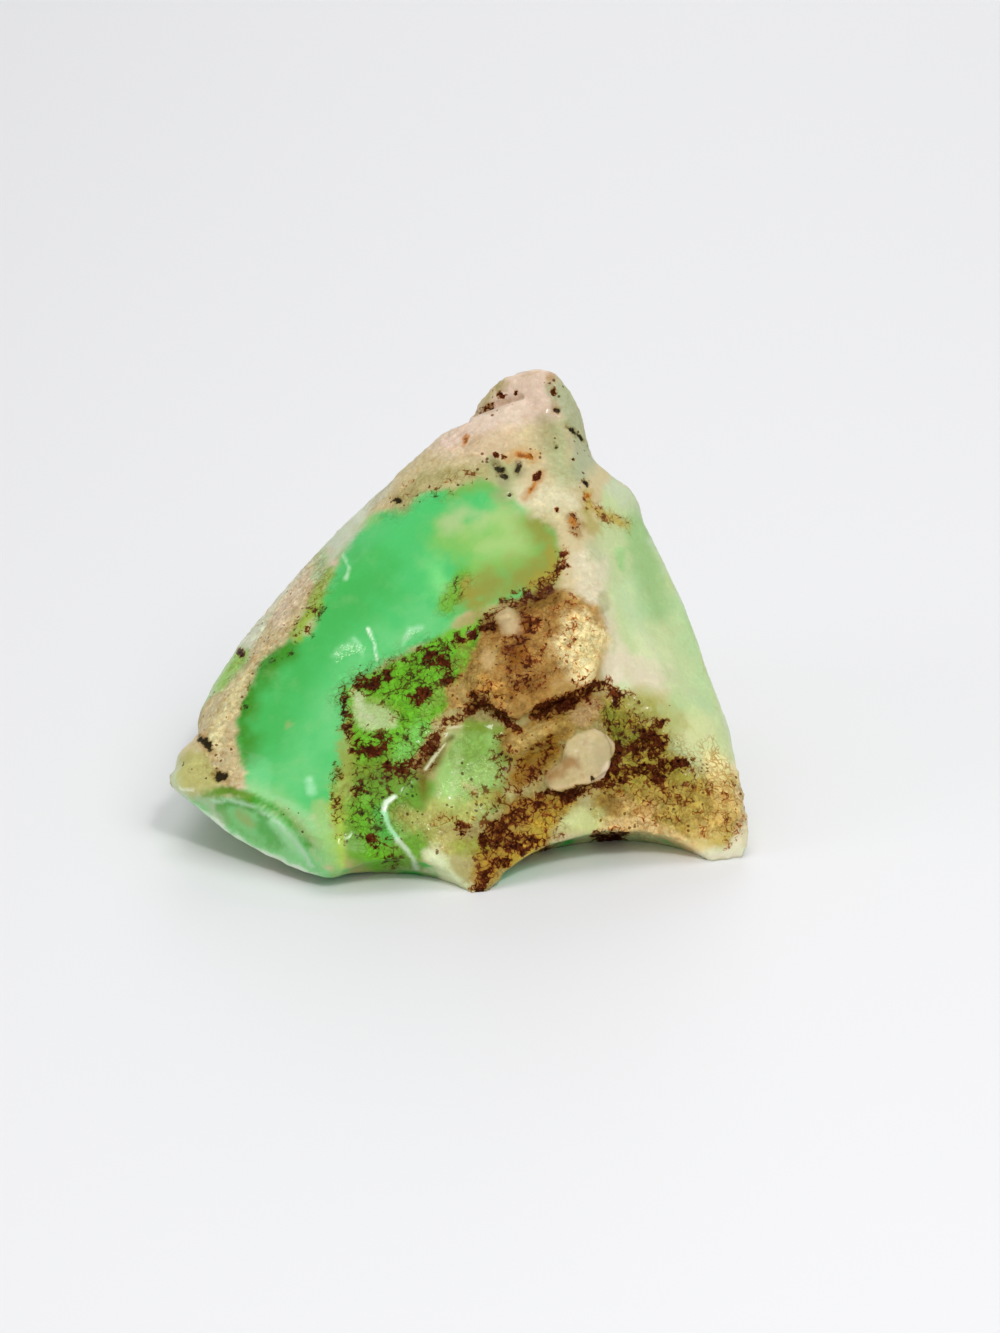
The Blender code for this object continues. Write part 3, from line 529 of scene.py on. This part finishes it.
# The hidden sides, in millimetres: spots with their colour, place and reach, and strokes of dendrites with
# their half width and strength.
HIDDEN = dict(
    right_flank=(PALE_GREEN, (17, 4, 8), 13),
    right_flank_green=(APPLE, (16.5, 8, 12), 6),
    right_foot=(MOSS, (17, 8, 2.5), 5),
    back_window=(EMERALD, (0.5, 17, 11), 8.5),
    back_window_deep=(MID_GREEN, (-1.5, 17, 8), 5),
    back_window_mint=(MINT, (2.5, 16, 15), 4.5),
    back_foot=(APPLE, (5, 15, 2), 5),
    back_left=(MOSS, (-13, 12, 7), 5),
    left_flank=(APPLE, (-19, 5, 5), 4),
)
HIDDEN_DENDRITES = dict(
    back_arc=("-8.5,14.5,12 -6,15,17 -1,15,20", 2.2, 0.55),
    back_foot=("-5,17,4 2,17.5,4.5 8,16,6", 2.4, 0.55),
    right_foot=("14,12,4 18,4,3 20,-4,3", 1.8, 0.55),
    back_right=("9,15,9 11,13.5,15", 2.2, 0.45),
    back_left=("-16,10,5 -11,14,6", 2, 0.45),
)

# Faint ribs across the round hollow, and the rings of the facet: direction, middle and widths in pixels.
RIBS_ACROSS = (0.85, 0.53)
RIB_WIDTH = 9.5
RINGS_MIDDLE = (248, 822)
RING_WIDTH = 9

# The pale floor and sky, and the lamps round them: place, diameter in metres, watts and colour. All lamps
# point at the middle of the stone.
FLOOR_COLOUR = (0.8, 0.8, 0.81, 1)
FLOOR_REACH = 3.0
SKY_COLOUR = (0.96, 0.97, 1, 1)
SKY_STRENGTH = 0.45
LAMPS = dict(
    key=((0.2, -0.3, 0.38), 0.26, 0.7, (1, 0.99, 0.97)),
    left=((-0.42, -0.16, 0.12), 0.22, 0.35, (0.97, 0.98, 1)),
    top=((-0.02, 0.1, 0.5), 0.3, 0.55, (1, 1, 1)),
    back=((0.05, 0.44, 0.24), 0.3, 0.4, (1, 1, 1)),
    spark=((0.1, -0.28, 0.36), 0.06, 0.45, (1, 1, 0.98)),
)
STONE_MIDDLE = Vector((0, 0, 12)) * MM


def smoothstep(low, high, value):
    t = np.clip((value - low) / (high - low), 0, 1)
    return t * t * (3 - 2 * t)


def places_of(text):
    """The places that a text names, each as x,y or x,y,z."""
    return np.array([place.split(",") for place in text.split()], float)


def distance_to_path(points, path):
    """Each point's distance to a line of straight stretches, in two dimensions or three."""
    nearest = np.full(len(points), np.inf)
    for start, end in zip(path[:-1], path[1:]):
        way = end - start
        share = np.clip((points - start) @ way / max(way @ way, 1e-12), 0, 1)
        nearest = np.minimum(nearest, np.linalg.norm(points - start - share[:, None] * way, axis=1))
    return nearest


def depth_in_outline(points, corners):
    """Each point's distance to the outline, positive inside it and negative outside."""
    crossings = np.zeros(len(points), int)
    for (x0, y0), (x1, y1) in zip(corners, np.roll(corners, -1, axis=0)):
        if y0 == y1:
            continue
        spans = (points[:, 1] > min(y0, y1)) & (points[:, 1] <= max(y0, y1))
        crossing = x0 + (points[:, 1] - y0) / (y1 - y0) * (x1 - x0)
        crossings += spans & (points[:, 0] < crossing)
    away = distance_to_path(points, np.vstack([corners, corners[:1]]))
    return np.where(crossings % 2, away, -away)


def frame_places(points):
    """Where the camera's frame shows each point, in its pixels."""
    offset = points - np.array(EYE)
    depth = offset @ np.array(FORWARD)
    across = offset @ np.array(RIGHT) / depth * DISTANCE / PIXEL
    down = -(offset @ np.array(UP)) / depth * DISTANCE / PIXEL
    return np.stack([FRAME[0] / 2 + across, FRAME[1] / 2 + down], axis=1)


def points_of(mesh):
    return np.array([v.co for v in mesh.vertices])


def set_points(mesh, points):
    mesh.vertices.foreach_set("co", points.astype(np.float32).ravel())
    mesh.update()


def settle(mesh, share, rounds):
    """Moves each point towards the middle of its neighbours by that share, that many times. The face that
    the stone rests on stays flat."""
    points = points_of(mesh)
    edges = np.array([e.vertices[:] for e in mesh.edges])
    ends = np.concatenate([edges, edges[:, ::-1]])
    count = np.bincount(ends[:, 0], minlength=len(points))[:, None]
    floor = points[:, 2] < ON_FLOOR
    for _ in range(rounds):
        near = [np.bincount(ends[:, 0], points[ends[:, 1], axis], len(points)) for axis in range(3)]
        points = points + share * (np.stack(near, axis=1) / count - points)
    points[:, 2] = np.where(floor, 0, np.maximum(points[:, 2], 0))
    set_points(mesh, points)


def split_busy_faces(mesh):
    bm = bmesh.new()
    bm.from_mesh(mesh)
    places = frame_places(np.array([f.calc_center_median() for f in bm.faces]))
    busy = np.zeros(len(places), bool)
    for outline in BUSY.values():
        busy |= depth_in_outline(places, places_of(outline)) > 0
    busy &= np.array([f.normal for f in bm.faces]) @ -np.array(FORWARD) > -0.1
    edges = list({edge for face, split in zip(bm.faces, busy) if split for edge in face.edges})
    bmesh.ops.subdivide_edges(bm, edges=edges, cuts=1, use_grid_fill=True)
    bm.to_mesh(mesh)
    bm.free()


def add_object(name, data):
    made = bpy.data.objects.new(name, data)
    bpy.context.scene.collection.objects.link(made)
    return made


def stone_mesh():
    """A fine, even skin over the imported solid, as a new object."""
    bm = bmesh.new()
    bm.from_mesh(bpy.data.objects["chrysoprase"].data)
    bmesh.ops.remove_doubles(bm, verts=bm.verts, dist=1e-7)
    mesh = bpy.data.meshes.new("raw_chrysoprase")
    bm.to_mesh(mesh)
    bm.free()
    stone = add_object("raw_chrysoprase", mesh)
    remesh = stone.modifiers.new("fine_skin", "REMESH")
    remesh.mode = "VOXEL"
    remesh.voxel_size = VOXEL
    graph = bpy.context.evaluated_depsgraph_get()
    stone.data = bpy.data.meshes.new_from_object(stone.evaluated_get(graph))
    stone.modifiers.clear()
    settle(stone.data, share=0.5, rounds=2)
    split_busy_faces(stone.data)
    return stone


class Skin:
    """The points of the stone's skin, where the frame shows them, and the fields worked out on them."""

    def __init__(self, mesh):
        self.look(mesh)
        self.floor = self.points[:, 2] < SETTLED
        self.drift = self.fractal(2.4, 4, 5.0)
        self.ragged = self.fractal(0.7, 4, 9.0)
        self.frayed = np.stack([self.fractal(0.5, 3, 12.0), self.fractal(0.5, 3, 17.0)], axis=1)
        self.shown = smoothstep(-0.12, 0.12, self.facing + 0.08 * self.drift)

    def look(self, mesh):
        """Works out the normals and the places in the frame anew, after the points have moved."""
        self.points = points_of(mesh)
        self.normals = np.array([v.normal for v in mesh.vertices])
        self.frame = frame_places(self.points)
        toward = np.array(EYE) - self.points
        toward /= np.linalg.norm(toward, axis=1)[:, None]
        self.facing = np.einsum("ij,ij->i", self.normals, toward)

    def fractal(self, size, octaves, shift=0.0):
        """Perlin noise from about -1 to 1, whose largest swells are this many millimetres across."""
        where = self.points / (size * MM) + shift
        return np.array([noise.fractal(Vector(p), 0.9, 2.0, octaves) for p in where])

    def domes(self, size):
        """Domes of that many millimetres, side by side: 0.5 in the middle of each, -0.5 where they meet."""
        where = self.points / (size * MM)
        nearest = np.array([noise.voronoi(Vector(p))[0][0] for p in where])
        return 0.5 - np.clip(nearest / 0.75, 0, 1) ** 2

    def away(self, centre, reach):
        """Each point's distance from that place in millimetres, as a share of the reach."""
        return np.linalg.norm(self.points / MM - centre, axis=1) / reach

    def depth(self, path, half_width):
        """How deep each point lies in this outline, or in this stroke of that half width, in pixels."""
        places = places_of(path)
        if half_width:
            return half_width - distance_to_path(self.frame, places)
        return depth_in_outline(self.frame, places)

    def mask(self, path, half_width, soft):
        """1 inside this outline or stroke of the shown side, 0 outside it, with a ragged, soft edge."""
        depth = self.depth(path, half_width) + soft * 0.8 * self.drift + min(soft, 5) * 0.7 * self.ragged
        return smoothstep(-soft, soft, depth) * self.shown

    def wash(self, name, soft):
        """The mask of the wash of that name, with an edge of another softness."""
        _, path, half_width, _, _ = WASHES[name]
        return self.mask(path, half_width, soft)

    def cover(self, table, soft):
        """The strongest of the table's strokes at each point."""
        return np.max([share * self.mask(path, width, soft) for path, width, share in table.values()], axis=0)

    def marks(self, kind):
        """1 in the middle of each mark of this kind, 0 at its edge, and down to -1 outside."""
        field = np.full(len(self.points), -1.0)
        for x, y, half_length, half_width, tilt in MARKS[kind].values():
            turn = math.radians(tilt)
            offset = self.frame - np.array([x, y]) + 2.2 * self.frayed
            along = offset @ np.array([math.cos(turn), math.sin(turn)]) / half_length
            across = offset @ np.array([-math.sin(turn), math.cos(turn)]) / half_width
            field = np.maximum(field, 1 - np.hypot(along, across))
        return np.where(self.facing > 0, field, -1.0)


def rind_of(skin):
    """How sandy the skin is, from 0 to 1."""
    hidden = np.min(
        [smoothstep(0.75, 1.0, skin.away(*spot) + 0.25 * skin.drift) for _, *spot in HIDDEN.values()], axis=0
    )
    hidden *= smoothstep(-0.75, -0.35, skin.normals[:, 2])
    return np.clip(skin.cover(RIND, 8) + (1 - skin.shown) * 0.85 * hidden, 0, 1)


def dendrites_and_shade_of(skin):
    """How thick the dendrites grow, with the strokes of painted shade among them, from 0 to 1."""
    field = np.zeros(len(skin.points))
    for path, half_width, strength in DENDRITES_AND_SHADE.values():
        depth = skin.depth(path, half_width) + 2.0 * skin.drift + 2.5 * skin.ragged
        field = np.maximum(field, (strength + np.minimum(depth, 0) / FADE) * skin.shown)
    for path, half_width, strength in HIDDEN_DENDRITES.values():
        depth = half_width - distance_to_path(skin.points / MM, places_of(path)) + 0.6 * skin.drift
        field = np.maximum(field, (strength + np.minimum(depth, 0) / HIDDEN_FADE) * (1 - skin.shown))
    brown = skin.marks("brown")
    return np.clip(np.maximum(field, np.where(brown > -0.4, 0.72 + 0.6 * brown, 0)), 0, 1)


def clear_of(skin, rind, dendrites_and_shade):
    """How glassy the skin is, from 0 to 1."""
    field = 0.35 * smoothstep(0.6, 0.2, rind)
    for name, share in CLEAR.items():
        field = np.maximum(field, share * skin.wash(name, 6))
    for _, centre, reach in HIDDEN.values():
        spot = smoothstep(1.0, 0.7, skin.away(centre, reach) + 0.25 * skin.drift)
        field = np.maximum(field, 0.8 * spot * (1 - skin.shown))
    return np.clip(field * (1 - rind) * (1 - smoothstep(0.3, 0.7, dendrites_and_shade)), 0, 1)


def relief(skin, rind, dendrites_and_shade):
    """How far each point of the skin moves out, in millimetres."""
    grain = skin.fractal(0.60, 4)
    lumps = skin.domes(1.00)
    swell = skin.fractal(5.0, 3, 3.0)
    window = skin.wash("window", 6) * (1 - rind)
    mound = skin.wash("mound", 6)
    low = skin.wash("tan_low", 10)
    flake = smoothstep(-1.5, 1.5, skin.depth(WASHES["flake"][1], 0)) * skin.shown
    plain = 1 - np.maximum(flake, 0.6 * window)

    out = plain * rind * (0.07 * grain + 0.06 * skin.domes(0.70))
    out += mound * (0.24 * skin.domes(1.70) + 0.18 * lumps + 0.09 * grain)
    out += skin.wash("crust", 10) * plain * (0.20 * lumps + 0.12 * grain)
    out += low * (0.14 * lumps + 0.07 * grain)
    out += skin.wash("ledge", 6) * plain * (0.14 * lumps + 0.10 * grain)
    out += plain * 0.08 * dendrites_and_shade * grain
    out += (1 - rind) * (1 - window) * (0.05 * swell + 0.05 * skin.drift)
    out += flake * (0.14 + 0.04 * swell + 0.10 * lumps + 0.05 * grain)

    ribs = np.sin(skin.frame @ np.array(RIBS_ACROSS) / RIB_WIDTH * math.pi + 1.5 * skin.drift)
    out += skin.wash("basin", 8) * (0.02 * ribs + 0.03 * grain)
    from_middle = np.linalg.norm(skin.frame - np.array(RINGS_MIDDLE), axis=1)
    rings = np.sin(from_middle / RING_WIDTH * math.pi + 1.2 * skin.drift)
    out += skin.wash("facet", 6) * 0.035 * rings
    out += window * 0.025 * swell

    for path, half_width, height in RIDGES.values():
        out += height * smoothstep(-2.0, 2.0, skin.depth(path, half_width)) * skin.shown
    out -= 0.14 * smoothstep(-0.2, 0.6, skin.marks("black"))
    out -= 0.07 * smoothstep(-0.2, 0.6, skin.marks("brown"))
    for centre, reach, height in SWELLS.values():
        out += height * smoothstep(1, 0, skin.away(centre, reach))
    return out


def linear(colour):
    """The colour in parts of one."""
    return tuple(part / 100 for part in colour)


def lay(colour, over, mask):
    """The colours with this one laid over them, as far as the mask says."""
    return colour * (1 - mask[:, None]) + np.array(linear(over)) * mask[:, None]


def paint(skin):
    """The colour of each point before the material's fine work, as linear red, green and blue."""
    colour = np.tile(np.array(linear(CREAM)), (len(skin.points), 1))
    colour = lay(colour, ROSE_TAN, 0.6 * smoothstep(0.0, 0.6, skin.fractal(4.0, 4, 2.0)))
    colour = lay(colour, PINK, 0.7 * smoothstep(0.1, 0.6, skin.fractal(6.0, 3, 7.0)))
    for over, centre, reach in HIDDEN.values():
        away = skin.away(centre, reach) + 0.30 * skin.drift + 0.10 * skin.ragged
        colour = lay(colour, over, smoothstep(1.0, 0.85, away))
    lowest = smoothstep(-0.35, -0.75, skin.normals[:, 2])
    colour = lay(colour, UNDERSIDE, lowest * smoothstep(1.5, -1.0, skin.drift * 2))
    for over, path, half_width, soft, strength in WASHES.values():
        colour = lay(colour, over, skin.mask(path, half_width, soft) * strength)
    return lay(colour, KHAKI, 0.5 * smoothstep(-0.2, 0.8, skin.marks("faint")))


def write_field(mesh, name, values):
    if values.ndim == 1:
        attribute = mesh.attributes.new(name, "FLOAT", "POINT")
        attribute.data.foreach_set("value", values.astype(np.float32))
    else:
        attribute = mesh.attributes.new(name, "FLOAT_COLOR", "POINT")
        rows = np.column_stack([values, np.ones(len(values))])
        attribute.data.foreach_set("color", rows.astype(np.float32).ravel())


class Nodes:
    """Short names for the nodes of one material. A value is a number, a colour or another node's socket."""

    def __init__(self, material):
        self.tree = material.node_tree
        self.place = self.new("TexCoord", {})["Object"]

    def set(self, socket, value):
        if isinstance(value, bpy.types.NodeSocket):
            self.tree.links.new(value, socket)
        else:
            socket.default_value = value

    def new(self, kind, values, **settings):
        """The outputs of a new node with these values, by socket, and these settings."""
        node = self.tree.nodes.new("ShaderNode" + kind)
        for name, setting in settings.items():
            setattr(node, name, setting)
        for socket, value in values.items():
            self.set(node.inputs[socket], value)
        return node.outputs

    def field(self, name, output="Fac"):
        return self.new("Attribute", {}, attribute_name=name)[output]

    def math(self, operation, *values):
        return self.new("Math", dict(enumerate(values)), operation=operation)[0]

    def plus(self, value, factor, base):
        """base + factor * value."""
        return self.math("MULTIPLY_ADD", value, factor, base)

    def times(self, *factors):
        product = factors[0]
        for factor in factors[1:]:
            product = self.math("MULTIPLY", product, factor)
        return product

    def sway(self, value, amount, base=0.0):
        """base, plus how far the value lies from its middle, 0.5, times the amount."""
        return self.plus(self.math("SUBTRACT", value, 0.5), amount, base)

    def step(self, low, high, value):
        values = {"Value": value, "From Min": low, "From Max": high}
        return self.new("MapRange", values, interpolation_type="SMOOTHSTEP")["Result"]

    def mix(self, share, a, b, blend="MIX"):
        a, b = ((*value, 1) if isinstance(value, tuple) else value for value in (a, b))
        values = {"Factor": share, "A": a, "B": b}
        return self.new("Mix", values, data_type="RGBA", blend_type=blend)["Result"]

    def tint(self, shade, colour, *shares):
        """The shade times the colour, as far as the product of the shares says."""
        return self.mix(self.times(*shares), shade, colour, "MULTIPLY")

    def noise(self, size, detail, roughness=0.5, distortion=0.0, output="Fac"):
        """Noise from 0 to 1 whose swells are this many millimetres across."""
        values = {"Detail": detail, "Roughness": roughness, "Distortion": distortion}
        return self.new("TexNoise", {"Vector": self.place, "Scale": 1 / (size * MM), **values})[output]

    def vector(self, operation, *values):
        return self.new("VectorMath", dict(enumerate(values)), operation=operation)[0]

    def cells(self, size, warp, feature="F1"):
        """A Voronoi texture with cells of that many millimetres, pushed about by up to that warp."""
        push = self.noise(1.2 * size, 2, output="Color")
        place = self.vector("MULTIPLY_ADD", push, (warp * MM,) * 3, self.place)
        return self.new("TexVoronoi", {"Vector": place, "Scale": 1 / (size * MM)}, feature=feature)


def stone_material():
    material = bpy.data.materials.new("chrysoprase_stone")
    material.use_nodes = True
    shader = material.node_tree.nodes["Principled BSDF"]
    n = Nodes(material)

    rind = n.field("rind")
    clear = n.field("clear")
    dendrites_and_shade = n.field("dendrites_and_shade")
    glints = n.field("glints")
    specks = n.field("specks")
    fine = n.noise(0.28, 4, 0.65)
    broad = n.noise(2.6, 5, 0.62)
    veil = n.noise(1.5, 6, 0.68, 0.8)
    moss = n.noise(1.0, 6, 0.68, 0.4)
    sand = n.noise(0.50, 5, 0.72)
    grit = n.cells(0.36, 0.22)
    lace = n.cells(0.55, 0.55, "DISTANCE_TO_EDGE")["Distance"]
    wide_lace = n.cells(1.00, 0.80, "DISTANCE_TO_EDGE")["Distance"]
    tone = n.new("SeparateColor", {"Color": grit["Color"]})["Red"]
    rough = n.math("SUBTRACT", 1.0, clear)

    # The body: lighter and darker by turns, and finely mottled where it isn't clear.
    shade = n.mix(n.times(n.step(0.50, 0.75, broad), 0.16), n.field("colour", "Color"), linear(CLOUD))
    shade = n.tint(shade, (1.24, 1.22, 1.20), n.step(0.52, 0.66, veil), rough, 0.8)
    shade = n.tint(shade, (0.74, 0.66, 0.42), n.step(0.46, 0.34, veil), rough, 0.45)
    shade = n.tint(shade, n.plus(n.sway(fine, 0.40), n.plus(rough, 0.8, 0.2), 1.0), 1.0)

    # The rind: grains of unlike tone, darker where they meet, with tan and cream among them.
    shade = n.tint(shade, n.plus(n.sway(tone, 0.36), rind, 1.0), 1.0)
    shade = n.tint(shade, (0.72, 0.56, 0.36), n.step(0.34, 0.62, grit["Distance"]), rind, 0.25)
    shade = n.tint(shade, (0.76, 0.58, 0.36), n.step(0.54, 0.36, sand), rind, 0.80)
    shade = n.tint(shade, (1.50, 1.50, 1.46), n.step(0.56, 0.72, sand), rind, 0.80)

    # The lace: thin, broken brown lines round grains.
    thread = n.math("MAXIMUM", n.step(0.11, 0.02, lace), n.times(n.step(0.06, 0.01, wide_lace), 0.9))
    shade = n.tint(shade, (0.52, 0.32, 0.12), thread, n.step(0.36, 0.52, moss), n.field("lace"))

    # Small bright flaws, as painted glints: lighter and paler in colour, with a coat and faces that lean
    # their own way.
    glint_noise = n.plus(glints, 0.13, n.noise(0.20, 4, 0.75, 1.2))
    glint = n.times(n.step(0.70, 0.75, glint_noise), n.step(0.05, 0.25, glints))
    shade = n.tint(shade, (1.5, 1.5, 1.5), glint)
    shade = n.mix(n.times(glint, n.plus(rind, -0.35, 0.55)), shade, (0.74, 0.82, 0.58))

    # The dendrites, and the strokes of painted shade among them: mossy knots and strings whose edges follow
    # the grains, in two rings of brown stain.
    spread = n.sway(moss, 2.8, n.math("SUBTRACT", dendrites_and_shade, 0.73))
    spread = n.sway(tone, 0.34, n.sway(fine, 0.7, spread))
    strings = n.plus(n.step(0.15, 0.0, lace), 0.34, spread)
    present = n.step(0.04, 0.16, dendrites_and_shade)
    shade = n.tint(shade, (0.80, 0.50, 0.26), n.step(-0.45, -0.05, spread), present, 0.8)
    shade = n.tint(shade, (0.46, 0.22, 0.09), n.step(-0.14, 0.06, strings), present, 0.9)
    solid = n.times(n.step(0.04, 0.18, strings), n.step(0.30, 0.50, dendrites_and_shade))
    shade = n.mix(solid, shade, n.mix(n.step(0.46, 0.62, fine), linear(RED_BROWN), linear(DARK_RUST)))

    # Pin-point specks, in a share of the cells that the field sets.
    speck = n.math("GREATER_THAN", n.plus(specks, 0.22, tone), 1.0)
    shade = n.tint(shade, (0.22, 0.10, 0.04), speck, n.step(0.44, 0.26, grit["Distance"]), 0.9)

    # Single marks, each in a brown stain.
    marks = n.math("ADD", n.field("black"), n.sway(sand, 2.2))
    shade = n.tint(shade, (0.62, 0.50, 0.28), n.step(-0.55, 0.05, marks), 0.7)
    black = n.step(-0.05, 0.30, marks)
    shade = n.mix(n.times(black, 0.95), shade, linear(SOOT))
    rust = n.math("ADD", n.field("rust"), n.sway(sand, 2.6))
    shade = n.mix(n.times(n.step(-0.45, 0.35, rust), 0.8), shade, linear(RUST))
    shade = n.mix(n.times(n.step(0.35, 0.75, rust), 0.8), shade, linear(DEEP_RUST))

    # The dark marks are iron and manganese oxide, with a dull half-metallic lustre, which the strokes of
    # painted shade share.
    metal = n.times(n.math("MAXIMUM", solid, black), 0.75)
    coat = n.math("MAXIMUM", n.times(clear, 0.45), n.times(glint, 0.9))

    rise = n.math("SUBTRACT", n.math("ADD", sand, fine), n.times(grit["Distance"], 0.8))
    rise = n.times(rise, n.plus(rind, 1.10, n.plus(rough, 0.22, 0.03)))
    rise = n.plus(n.step(0.0, 0.3, spread), 0.2, rise)
    bump = n.new("Bump", {"Height": rise, "Distance": 0.10 * MM, "Strength": 0.7})["Normal"]
    # Sugary grains, each a small face that leans its own way.
    lean = n.vector("SUBTRACT", grit["Color"], (0.5, 0.5, 0.5))
    how_far = n.plus(glint, 0.8, n.times(specks, 0.5))
    lean = n.new("VectorMath", {0: lean, "Scale": how_far}, operation="SCALE")[0]
    sockets = {
        "Base Color": shade,
        "Metallic": metal,
        "Roughness": n.sway(fine, 0.20, n.plus(rough, 0.20, 0.24)),
        "Coat Weight": coat,
        "Coat Roughness": 0.07,
        "Subsurface Weight": n.plus(clear, 0.35, 0.10),
        "Subsurface Radius": (0.45, 1.0, 0.55),
        "Subsurface Scale": 1.6 * MM,
        "IOR": 1.54,
        "Specular IOR Level": 0.10,
        "Normal": n.vector("NORMALIZE", n.vector("ADD", bump, lean)),
    }
    for name, value in sockets.items():
        n.set(shader.inputs[name], value)
    return material


def dress(stone):
    """Shapes and paints the fine skin."""
    mesh = stone.data
    skin = Skin(mesh)
    grown = 1 - np.max([share * skin.wash(name, soft) for name, (soft, share) in BARE.items()], axis=0)
    rind = rind_of(skin) * grown
    dendrites_and_shade = dendrites_and_shade_of(skin) * grown
    smooth = np.clip(1 - rind - dendrites_and_shade, 0, 1)[:, None]
    settle(mesh, share=0.5 * smooth, rounds=9)
    skin.look(mesh)
    out = relief(skin, rind, dendrites_and_shade) * np.where(skin.floor, 0, 1)
    points = skin.points + skin.normals * (out * MM)[:, None]
    points[:, 2] = np.maximum(points[:, 2], 0)
    fields = {
        "colour": paint(skin),
        "rind": rind,
        "dendrites_and_shade": dendrites_and_shade,
        "clear": clear_of(skin, rind, dendrites_and_shade),
        "lace": skin.cover(LACE, 8) * grown,
        "glints": skin.cover(GLINTS, 4),
        "specks": np.clip(skin.cover(SPECKS, 8) + (1 - skin.shown) * rind * 0.6, 0, 1) * grown,
        "black": skin.marks("black"),
        "rust": skin.marks("rust"),
    }
    for name, values in fields.items():
        write_field(mesh, name, values)
    set_points(mesh, points)
    mesh.shade_smooth()
    mesh.materials.clear()
    mesh.materials.append(stone_material())
    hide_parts("chrysoprase")
    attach(stone, "root")


def make_floor():
    material = bpy.data.materials.new("pale_floor")
    material.use_nodes = True
    shader = material.node_tree.nodes["Principled BSDF"]
    shader.inputs["Base Color"].default_value = FLOOR_COLOUR
    shader.inputs["Roughness"].default_value = 0.55
    bm = bmesh.new()
    bmesh.ops.create_grid(bm, x_segments=1, y_segments=1, size=FLOOR_REACH)
    mesh = bpy.data.meshes.new("floor")
    bm.to_mesh(mesh)
    bm.free()
    mesh.materials.append(material)
    floor = add_object("floor", mesh)


def light_scene():
    world = bpy.data.worlds.new("studio")
    bpy.context.scene.world = world
    world.use_nodes = True
    background = world.node_tree.nodes["Background"]
    background.inputs["Color"].default_value = SKY_COLOUR
    background.inputs["Strength"].default_value = SKY_STRENGTH
    for name, (place, diameter, watts, colour) in LAMPS.items():
        data = bpy.data.lights.new(name, "AREA")
        data.shape = "DISK"
        data.size = diameter
        data.energy = watts
        data.color = colour
        lamp = add_object(name, data)
        lamp.location = place
        lamp.rotation_euler = (STONE_MIDDLE - Vector(place)).to_track_quat("-Z", "Y").to_euler()
    bpy.context.scene.view_settings.view_transform = "Standard"


def make_camera():
    data = bpy.data.cameras.new("camera")
    data.sensor_width = 36.0
    data.lens = data.sensor_width * DISTANCE / (FRAME[1] * PIXEL)
    camera = add_object("camera", data)
    camera.location = EYE
    camera.rotation_euler = FORWARD.to_track_quat("-Z", "Y").to_euler()
    bpy.context.scene.camera = camera


def main():
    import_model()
    dress(stone_mesh())
    make_floor()
    light_scene()
    make_camera()


main()
